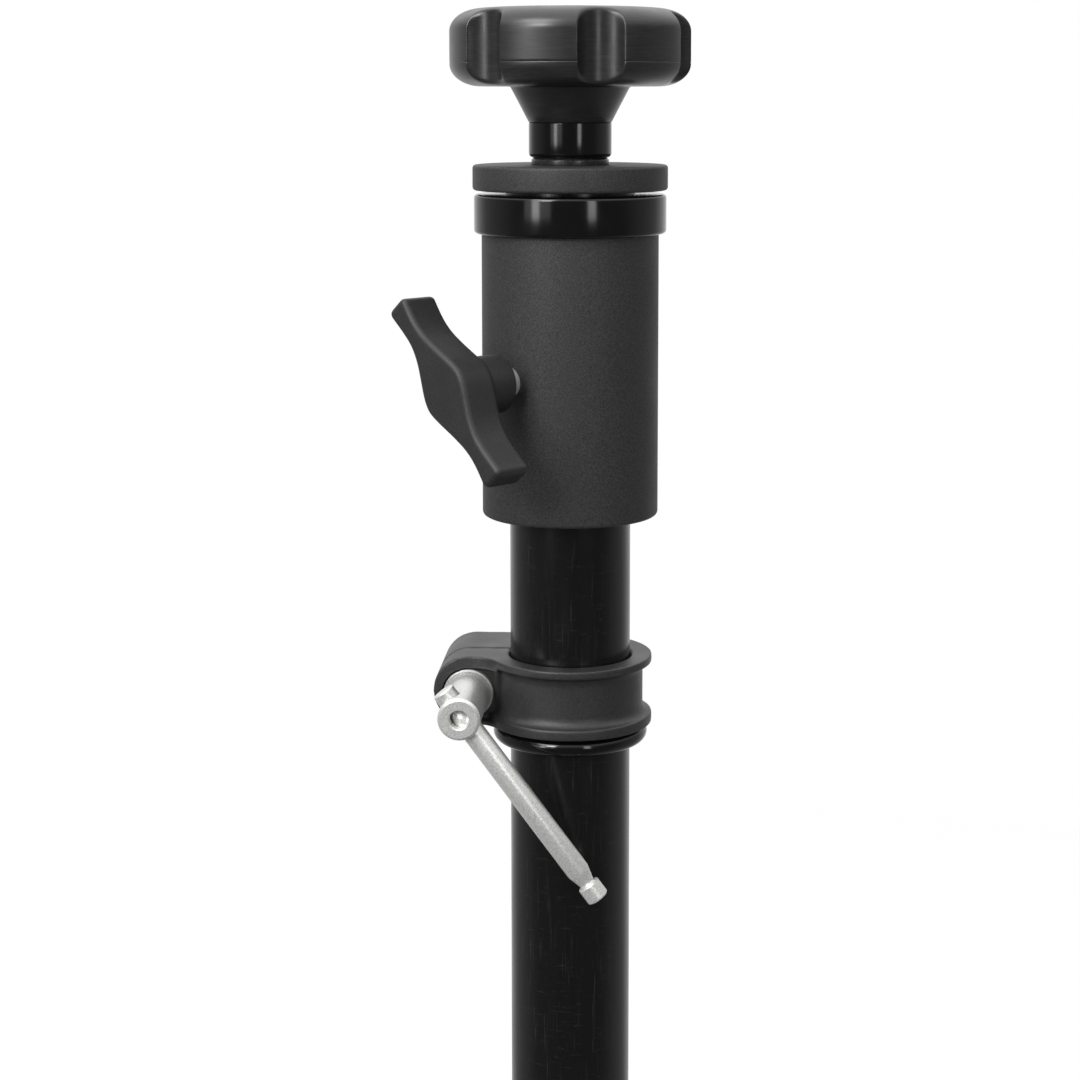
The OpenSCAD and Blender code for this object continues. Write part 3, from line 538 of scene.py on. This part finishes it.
def between(low, high):
    """Map Range values that take the middle of a noise to a range."""
    return {"From Min": 0.3, "From Max": 0.7, "To Min": low, "To Max": high}


def moulded_black_nylon():
    """Glass-filled black nylon from a spark-eroded mould: matt, a broad soft sheen, rubbed smoother by hands."""
    material, tree, place = start_finish("moulded black nylon")
    handled = add(tree, "ShaderNodeTexNoise", {"Vector": place}, {"Scale": 1 / (18 * MM), "Detail": 3})
    # Glass fibres are too fine to show, so their speckle is drawn 0.5 mm wide
    fibres = add(tree, "ShaderNodeTexNoise", {"Vector": place},
                 {"Scale": 1 / (0.5 * MM), "Detail": 3, "Roughness": 0.65})
    colour = add(tree, "ShaderNodeValToRGB", {"Fac": fibres}, ramp=[(0.38, "#19191a"), (0.66, "#2a2a2b")])
    sheen = add(tree, "ShaderNodeMapRange", {"Value": handled}, between(0.46, 0.60))
    skin = add(tree, "ShaderNodeBump", {"Height": fibres}, {"Distance": 0.04 * MM})
    shader = add(tree, "ShaderNodeBsdfPrincipled",
                 {"Base Color": colour, "Roughness": sheen, "Normal": skin}, {"IOR": 1.53})
    add(tree, "ShaderNodeOutputMaterial", {"Surface": shader})
    return material


def pressed_black_phenolic():
    """Black phenolic pressed in a polished mould: soft upright reflections, fine level scratches from hands."""
    material, tree, place = start_finish("pressed black phenolic")
    handled = add(tree, "ShaderNodeTexNoise", {"Vector": place}, {"Scale": 1 / (14 * MM), "Detail": 3})
    # Hairline scratches are drawn 0.35 mm wide, so that they show
    level = add(tree, "ShaderNodeMapping", {"Vector": place}, {"Scale": grain_of(8.75, 8.75, 0.35)})
    scratches = add(tree, "ShaderNodeTexNoise", {"Vector": level}, {"Scale": 1, "Detail": 3, "Roughness": 0.7})
    colour = add(tree, "ShaderNodeValToRGB", {"Fac": scratches}, ramp=[(0.45, "#1f1f20"), (0.75, "#313132")])
    gloss = add(tree, "ShaderNodeMapRange", {"Value": handled}, between(0.26, 0.38))
    marks = add(tree, "ShaderNodeBump", {"Height": scratches}, {"Distance": 0.006 * MM})
    shader = add(tree, "ShaderNodeBsdfPrincipled",
                 {"Base Color": colour, "Roughness": gloss, "Normal": marks}, {"IOR": 1.55})
    add(tree, "ShaderNodeOutputMaterial", {"Surface": shader})
    return material


def polished_black_acetal():
    """Black acetal turned and polished: near-black body, narrow clean reflections, faint turning marks."""
    material, tree, place = start_finish("polished black acetal")
    rubbed = add(tree, "ShaderNodeTexNoise", {"Vector": place}, {"Scale": 1 / (9 * MM), "Detail": 3})
    # Turning marks are drawn 0.5 mm apart, coarser than a fine feed leaves them
    rings = add(tree, "ShaderNodeMapping", {"Vector": place}, {"Scale": grain_of(25, 25, 0.5)})
    turning = add(tree, "ShaderNodeTexNoise", {"Vector": rings}, {"Scale": 1, "Detail": 1})
    colour = add(tree, "ShaderNodeValToRGB", {"Fac": rubbed}, ramp=[(0.3, "#080809"), (0.7, "#0d0d0e")])
    gloss = add(tree, "ShaderNodeMapRange", {"Value": rubbed}, between(0.10, 0.15))
    marks = add(tree, "ShaderNodeBump", {"Height": turning}, {"Distance": 0.002 * MM})
    shader = add(tree, "ShaderNodeBsdfPrincipled",
                 {"Base Color": colour, "Roughness": gloss, "Normal": marks}, {"IOR": 1.48})
    add(tree, "ShaderNodeOutputMaterial", {"Surface": shader})
    return material


def natural_acetal():
    """Uncoloured acetal, turned: milky white with fine turning marks."""
    material, tree, place = start_finish("natural acetal")
    cloud = add(tree, "ShaderNodeTexNoise", {"Vector": place}, {"Scale": 1 / (14 * MM), "Detail": 2})
    # Turning marks are drawn 0.6 mm apart, so that they show
    rings = add(tree, "ShaderNodeMapping", {"Vector": place}, {"Scale": grain_of(20, 20, 0.6)})
    turning = add(tree, "ShaderNodeTexNoise", {"Vector": rings}, {"Scale": 1, "Detail": 1})
    colour = add(tree, "ShaderNodeValToRGB", {"Fac": cloud}, ramp=[(0.3, "#dcdad0"), (0.7, "#e6e4dc")])
    marks = add(tree, "ShaderNodeBump", {"Height": turning}, {"Distance": 0.01 * MM})
    shader = add(tree, "ShaderNodeBsdfPrincipled", {"Base Color": colour, "Normal": marks},
                 {"IOR": 1.48, "Roughness": 0.4})
    add(tree, "ShaderNodeOutputMaterial", {"Surface": shader})
    return material


def bright_zinc_plate():
    """Steel with bright zinc plate over a turned surface: pale satin metal, part of its light scattered."""
    material, tree, place = start_finish("bright zinc plate")
    # Zinc crystals are too fine to show, so they are drawn 0.5 mm wide
    crystal = add(tree, "ShaderNodeTexNoise", {"Vector": place},
                  {"Scale": 1 / (0.5 * MM), "Detail": 4, "Roughness": 0.7})
    colour = add(tree, "ShaderNodeValToRGB", {"Fac": crystal}, ramp=[(0.4, "#d0d0cd"), (0.6, "#f6f6f3")])
    satin = add(tree, "ShaderNodeMapRange", {"Value": crystal}, between(0.36, 0.44))
    skin = add(tree, "ShaderNodeBump", {"Height": crystal}, {"Distance": 0.003 * MM})
    shader = add(tree, "ShaderNodeBsdfPrincipled",
                 {"Base Color": colour, "Roughness": satin, "Normal": skin}, {"Metallic": 0.65})
    add(tree, "ShaderNodeOutputMaterial", {"Surface": shader})
    return material


def turned_steel():
    """Bare mild steel, turned and lightly oiled: grey metal with close tool marks."""
    material, tree, place = start_finish("turned steel")
    # Tool marks are drawn 0.5 mm apart, so that they show
    rings = add(tree, "ShaderNodeMapping", {"Vector": place}, {"Scale": grain_of(25, 25, 0.5)})
    turning = add(tree, "ShaderNodeTexNoise", {"Vector": rings}, {"Scale": 1, "Detail": 2})
    colour = add(tree, "ShaderNodeValToRGB", {"Fac": turning}, ramp=[(0.3, "#8f9092"), (0.7, "#a3a4a6")])
    gloss = add(tree, "ShaderNodeMapRange", {"Value": turning}, between(0.26, 0.38))
    marks = add(tree, "ShaderNodeBump", {"Height": turning}, {"Distance": 0.01 * MM})
    shader = add(tree, "ShaderNodeBsdfPrincipled",
                 {"Base Color": colour, "Roughness": gloss, "Normal": marks}, {"Metallic": 1})
    add(tree, "ShaderNodeOutputMaterial", {"Surface": shader})
    return material


def blackened_steel():
    """Chemically blackened steel: dark metal with an oily gloss and lighter rubbed spots."""
    material, tree, place = start_finish("blackened steel")
    rubbed = add(tree, "ShaderNodeTexNoise", {"Vector": place}, {"Scale": 1 / (1.2 * MM), "Detail": 3})
    colour = add(tree, "ShaderNodeValToRGB", {"Fac": rubbed}, ramp=[(0.3, "#38383a"), (0.7, "#404041")])
    gloss = add(tree, "ShaderNodeMapRange", {"Value": rubbed}, between(0.22, 0.30))
    marks = add(tree, "ShaderNodeBump", {"Height": rubbed}, {"Distance": 0.003 * MM})
    shader = add(tree, "ShaderNodeBsdfPrincipled",
                 {"Base Color": colour, "Roughness": gloss, "Normal": marks}, {"Metallic": 0.6})
    add(tree, "ShaderNodeOutputMaterial", {"Surface": shader})
    return material


def textured_powder_coat():
    """Black polyester powder coat with a fine leather texture: charcoal, matt, a close even speckle."""
    material, tree, place = start_finish("textured powder coat")
    pebble = add(tree, "ShaderNodeTexNoise", {"Vector": place}, {"Scale": 1 / (0.5 * MM), "Detail": 2})
    cloud = add(tree, "ShaderNodeTexNoise", {"Vector": place}, {"Scale": 1 / (25 * MM), "Detail": 2})
    colour = add(tree, "ShaderNodeValToRGB", {"Fac": pebble}, ramp=[(0.38, "#1f1f20"), (0.62, "#383839")])
    matt = add(tree, "ShaderNodeMapRange", {"Value": cloud}, between(0.52, 0.62))
    leather = add(tree, "ShaderNodeBump", {"Height": pebble}, {"Distance": 0.035 * MM})
    shader = add(tree, "ShaderNodeBsdfPrincipled",
                 {"Base Color": colour, "Roughness": matt, "Normal": leather}, {"IOR": 1.5})
    add(tree, "ShaderNodeOutputMaterial", {"Surface": shader})
    return material


def half_gloss_enamel(name, flow_mm, rub_mm):
    """Half-gloss black enamel on drawn tube: soft long reflections, light rub marks along the tube and round it."""
    material, tree, place = start_finish(name)
    drawn = add(tree, "ShaderNodeMapping", {"Vector": place}, {"Scale": grain_of(6, 6, flow_mm)})
    flow = add(tree, "ShaderNodeTexNoise", {"Vector": drawn}, {"Scale": 1, "Detail": 3})
    # Rub marks are drawn about 0.8 mm wide, so that they show
    lengthwise = add(tree, "ShaderNodeMapping", {"Vector": place}, {"Scale": grain_of(0.8, 0.8, rub_mm)})
    upright = add(tree, "ShaderNodeTexNoise", {"Vector": lengthwise}, {"Scale": 1, "Detail": 4, "Roughness": 0.75})
    crosswise = add(tree, "ShaderNodeMapping", {"Vector": place}, {"Scale": grain_of(7.5, 7.5, 0.9)})
    level = add(tree, "ShaderNodeTexNoise", {"Vector": crosswise}, {"Scale": 1, "Detail": 5, "Roughness": 0.8})
    rubbed = add(tree, "ShaderNodeMath", {0: upright, 1: level}, operation="MAXIMUM")
    colour = add(tree, "ShaderNodeValToRGB", {"Fac": rubbed}, ramp=[(0.58, "#0b0b0c"), (0.76, "#323233")])
    gloss = add(tree, "ShaderNodeMapRange", {"Value": flow}, between(0.18, 0.30))
    waves = add(tree, "ShaderNodeBump", {"Height": flow}, {"Distance": 0.012 * MM})
    shader = add(tree, "ShaderNodeBsdfPrincipled",
                 {"Base Color": colour, "Roughness": gloss, "Normal": waves}, {"IOR": 1.5})
    add(tree, "ShaderNodeOutputMaterial", {"Surface": shader})
    return material


def painted_casting():
    """Zinc die casting under satin black paint: charcoal with a soft sheen over a close sandy skin."""
    material, tree, place = start_finish("painted casting")
    # The sandy skin is drawn 0.8 mm wide, coarser than the mould leaves it
    sand = add(tree, "ShaderNodeTexNoise", {"Vector": place},
               {"Scale": 1 / (0.8 * MM), "Detail": 4, "Roughness": 0.6})
    cloud = add(tree, "ShaderNodeTexNoise", {"Vector": place}, {"Scale": 1 / (16 * MM), "Detail": 2})
    colour = add(tree, "ShaderNodeValToRGB", {"Fac": sand}, ramp=[(0.3, "#222223"), (0.7, "#333334")])
    satin = add(tree, "ShaderNodeMapRange", {"Value": cloud}, between(0.40, 0.50))
    skin = add(tree, "ShaderNodeBump", {"Height": sand}, {"Distance": 0.07 * MM})
    shader = add(tree, "ShaderNodeBsdfPrincipled",
                 {"Base Color": colour, "Roughness": satin, "Normal": skin}, {"IOR": 1.5})
    add(tree, "ShaderNodeOutputMaterial", {"Surface": shader})
    return material


def turned_brass():
    """Turned free-cutting brass, unpolished: warm yellow metal, a little uneven."""
    material, tree, place = start_finish("turned brass")
    turning = add(tree, "ShaderNodeTexNoise", {"Vector": place}, {"Scale": 1 / (0.6 * MM), "Detail": 2})
    colour = add(tree, "ShaderNodeValToRGB", {"Fac": turning}, ramp=[(0.3, "#b9964e"), (0.7, "#c9a65c")])
    marks = add(tree, "ShaderNodeBump", {"Height": turning}, {"Distance": 0.01 * MM})
    shader = add(tree, "ShaderNodeBsdfPrincipled", {"Base Color": colour, "Normal": marks},
                 {"Metallic": 1, "Roughness": 0.3})
    add(tree, "ShaderNodeOutputMaterial", {"Surface": shader})
    return material


def moulded_rubber():
    """Moulded black rubber, a little dusty: dead matt, greyer where it has stood on floors."""
    material, tree, place = start_finish("moulded rubber")
    dust = add(tree, "ShaderNodeTexNoise", {"Vector": place}, {"Scale": 1 / (6 * MM), "Detail": 4, "Roughness": 0.6})
    pores = add(tree, "ShaderNodeTexNoise", {"Vector": place}, {"Scale": 1 / (0.8 * MM), "Detail": 2})
    colour = add(tree, "ShaderNodeValToRGB", {"Fac": dust}, ramp=[(0.4, "#1b1b1b"), (0.75, "#2b2a29")])
    matt = add(tree, "ShaderNodeMapRange", {"Value": dust}, between(0.7, 0.9))
    skin = add(tree, "ShaderNodeBump", {"Height": pores}, {"Distance": 0.05 * MM})
    shader = add(tree, "ShaderNodeBsdfPrincipled",
                 {"Base Color": colour, "Roughness": matt, "Normal": skin}, {"IOR": 1.5})
    add(tree, "ShaderNodeOutputMaterial", {"Surface": shader})
    return material


FINISH_OF_SLOT = {
    "black_plastic": moulded_black_nylon(),
    "black_acetal": polished_black_acetal(),
    "white_acetal": natural_acetal(),
    "zinc_steel": bright_zinc_plate(),
    "bare_steel": turned_steel(),
    "black_steel": blackened_steel(),
    "black_paint": textured_powder_coat(),
    "gloss_paint": half_gloss_enamel("half gloss enamel, upright tube", 50, 26.667),
    "black_casting": painted_casting(),
    "brass": turned_brass(),
    "rubber": moulded_rubber(),
}
# Legs and braces lean, so marks that are long along z would run askew on them
LEG_ENAMEL = half_gloss_enamel("half gloss enamel, legs and braces", 6, 3.2)
FINISH_OF_PIECE = {"grip_with_finger_grooves": pressed_black_phenolic(),
                   **{f"{part}_{i}": LEG_ENAMEL for part in ("leg", "brace") for i in (1, 2, 3)}}
SLOT_OF_NODE = {row["node"]: row["material_slot"] for row in frame["record"]["subparts"]}

WELD = 0.002 * MM
SHARP_FROM = 28


def smooth_faces():
    """Node group that shades a CAD mesh smooth except over sharp edges."""
    group = bpy.data.node_groups.new("smooth faces", "GeometryNodeTree")
    group.interface.new_socket("Mesh", in_out="INPUT", socket_type="NodeSocketGeometry")
    group.interface.new_socket("Mesh", in_out="OUTPUT", socket_type="NodeSocketGeometry")
    mesh_in = add(group, "NodeGroupInput")
    welded = add(group, "GeometryNodeMergeByDistance", {"Geometry": mesh_in}, {"Distance": WELD})
    bend = add(group, "GeometryNodeInputMeshEdgeAngle")
    soft = add(group, "FunctionNodeCompare", {0: bend}, {1: math.radians(SHARP_FROM)},
               data_type="FLOAT", operation="LESS_THAN")
    faces = add(group, "GeometryNodeSetShadeSmooth", {"Geometry": welded}, {"Shade Smooth": True}, domain="FACE")
    edges = add(group, "GeometryNodeSetShadeSmooth", {"Geometry": faces, "Shade Smooth": soft}, domain="EDGE")
    add(group, "NodeGroupOutput", {0: edges})
    return group


def dress():
    """Give every shown piece the finish of its slot."""
    smoothing = smooth_faces()
    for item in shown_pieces():
        node = item.get("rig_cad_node")
        slot = item.get("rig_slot") or SLOT_OF_NODE[node]
        item.data.materials.clear()
        item.data.materials.append(FINISH_OF_PIECE.get(item.name, FINISH_OF_SLOT[slot]))
        if node and not item.get("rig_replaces"):
            item.modifiers.new("smooth faces", "NODES").node_group = smoothing


dress()

# Floor and studio; the levels of the studio are those that polished surfaces see from front to back
FLOOR_PAINT = "#9a9a9a"
FLOOR_GLOW = 0.81
FLOOR_R = 3.0
FLOOR_SIDES = 96
WHITE = (1, 1, 1, 1)
WORLD_FILL = 0.36
HEAD = (0, 0, 1.2)
STUDIO_RAMP = [(0.0, 0.11), (0.3, 0.14), (0.5, 0.30), (0.75, 0.40), (1.0, 1.0)]
STUDIO_CEILING = 1.7
STUDIO_CEILING_FROM = 0.25


def studio_tone(tree, way):
    """What polished surfaces see: dim in front, paler to the sides, white behind, bright overhead."""
    axes = add(tree, "ShaderNodeSeparateXYZ", {"Vector": way})
    along = add(tree, "ShaderNodeMapRange", {"Value": axes.outputs["Y"]}, {"From Min": -1})
    depth = add(tree, "ShaderNodeValToRGB", {"Fac": along}, ramp=STUDIO_RAMP)
    above = add(tree, "ShaderNodeMapRange", {"Value": axes.outputs["Z"]},
                {"From Min": STUDIO_CEILING_FROM, "To Max": STUDIO_CEILING})
    return add(tree, "ShaderNodeVectorMath", {0: depth, 1: above}, operation="ADD")


def make_floor():
    """A pale floor that keeps the shadow, is white to the camera, and is part of the studio to polished surfaces."""
    bpy.ops.mesh.primitive_circle_add(vertices=FLOOR_SIDES, radius=FLOOR_R, fill_type="NGON")
    floor = bpy.context.object
    floor.name = "floor"
    material = bpy.data.materials.new("pale floor")
    material.use_nodes = True
    tree = material.node_tree
    tree.nodes.clear()
    path = add(tree, "ShaderNodeLightPath")
    paint = add(tree, "ShaderNodeBsdfDiffuse", values={"Color": linear(FLOOR_PAINT)})
    level = add(tree, "ShaderNodeMath", {0: path.outputs["Is Camera Ray"]}, {1: FLOOR_GLOW}, operation="MULTIPLY")
    glow = add(tree, "ShaderNodeEmission", {"Strength": level})
    shown = add(tree, "ShaderNodeAddShader", {0: paint, 1: glow})
    place = add(tree, "ShaderNodeNewGeometry").outputs["Position"]
    from_head = add(tree, "ShaderNodeVectorMath", {0: place}, {1: HEAD}, operation="SUBTRACT")
    way = add(tree, "ShaderNodeVectorMath", {0: from_head}, operation="NORMALIZE")
    studio = add(tree, "ShaderNodeEmission", {"Color": studio_tone(tree, way)})
    surface = add(tree, "ShaderNodeMixShader", {0: path.outputs["Is Glossy Ray"], 1: shown, 2: studio})
    add(tree, "ShaderNodeOutputMaterial", {"Surface": surface})
    floor.data.materials.append(material)


def make_world():
    """White to the camera; to the surfaces, a studio that is white behind and dim in front."""
    world = bpy.data.worlds.new("studio")
    bpy.context.scene.world = world
    world.use_nodes = True
    tree = world.node_tree
    tree.nodes.clear()
    path = add(tree, "ShaderNodeLightPath")
    way = add(tree, "ShaderNodeTexCoord").outputs["Generated"]
    mirrored = add(tree, "ShaderNodeMath",
                   {0: path.outputs["Is Glossy Ray"], 1: path.outputs["Is Transmission Ray"]}, operation="MAXIMUM")
    fill = add(tree, "ShaderNodeBackground", values={"Color": WHITE, "Strength": WORLD_FILL})
    studio = add(tree, "ShaderNodeBackground", {"Color": studio_tone(tree, way)})
    backdrop = add(tree, "ShaderNodeBackground", values={"Color": WHITE, "Strength": 1})
    surroundings = add(tree, "ShaderNodeMixShader", {0: mirrored, 1: fill, 2: studio})
    shown = add(tree, "ShaderNodeMixShader", {0: path.outputs["Is Camera Ray"], 1: surroundings, 2: backdrop})
    add(tree, "ShaderNodeOutputWorld", {"Surface": shown})


# Lamps
SIDE_LAMP_Z = 1.72
SIDE_AIM = (0, 0, SIDE_LAMP_Z)


def around(turn, distance):
    """A place for a side lamp, at an angle to the right of the front."""
    return (distance * math.sin(math.radians(turn)), -distance * math.cos(math.radians(turn)), SIDE_LAMP_Z)


def make_lamp(name, place, target, width, height, watts):
    """A soft rectangular lamp that faces its target."""
    data = bpy.data.lights.new(name, "AREA")
    data.shape = "RECTANGLE"
    data.size, data.size_y = width, height
    data.energy = watts
    lamp = bpy.data.objects.new(name, data)
    lamp.location = place
    lamp.rotation_euler = (Vector(target) - Vector(place)).to_track_quat("-Z", "Y").to_euler()
    bpy.context.scene.collection.objects.link(lamp)


# Each lamp's name, place, target, width, height and watts
LAMPS = [
    ("key softbox, bright edge", around(-41, 2.2), SIDE_AIM, 0.34, 1.3, 7.2),
    ("key softbox, wide part", around(-39, 2.25), SIDE_AIM, 1.3, 1.3, 5.5),
    ("right strip softbox", around(25.5, 2.2), SIDE_AIM, 0.36, 1.3, 6.4),
    ("overhead softbox", (-3.2, -3.84, 6.64), HEAD, 3.2, 3.2, 250),
    ("high front softbox", (-1.9, -3.3, 3.0), HEAD, 0.9, 0.9, 56),
]

make_floor()
make_world()
for lamp in LAMPS:
    make_lamp(*lamp)
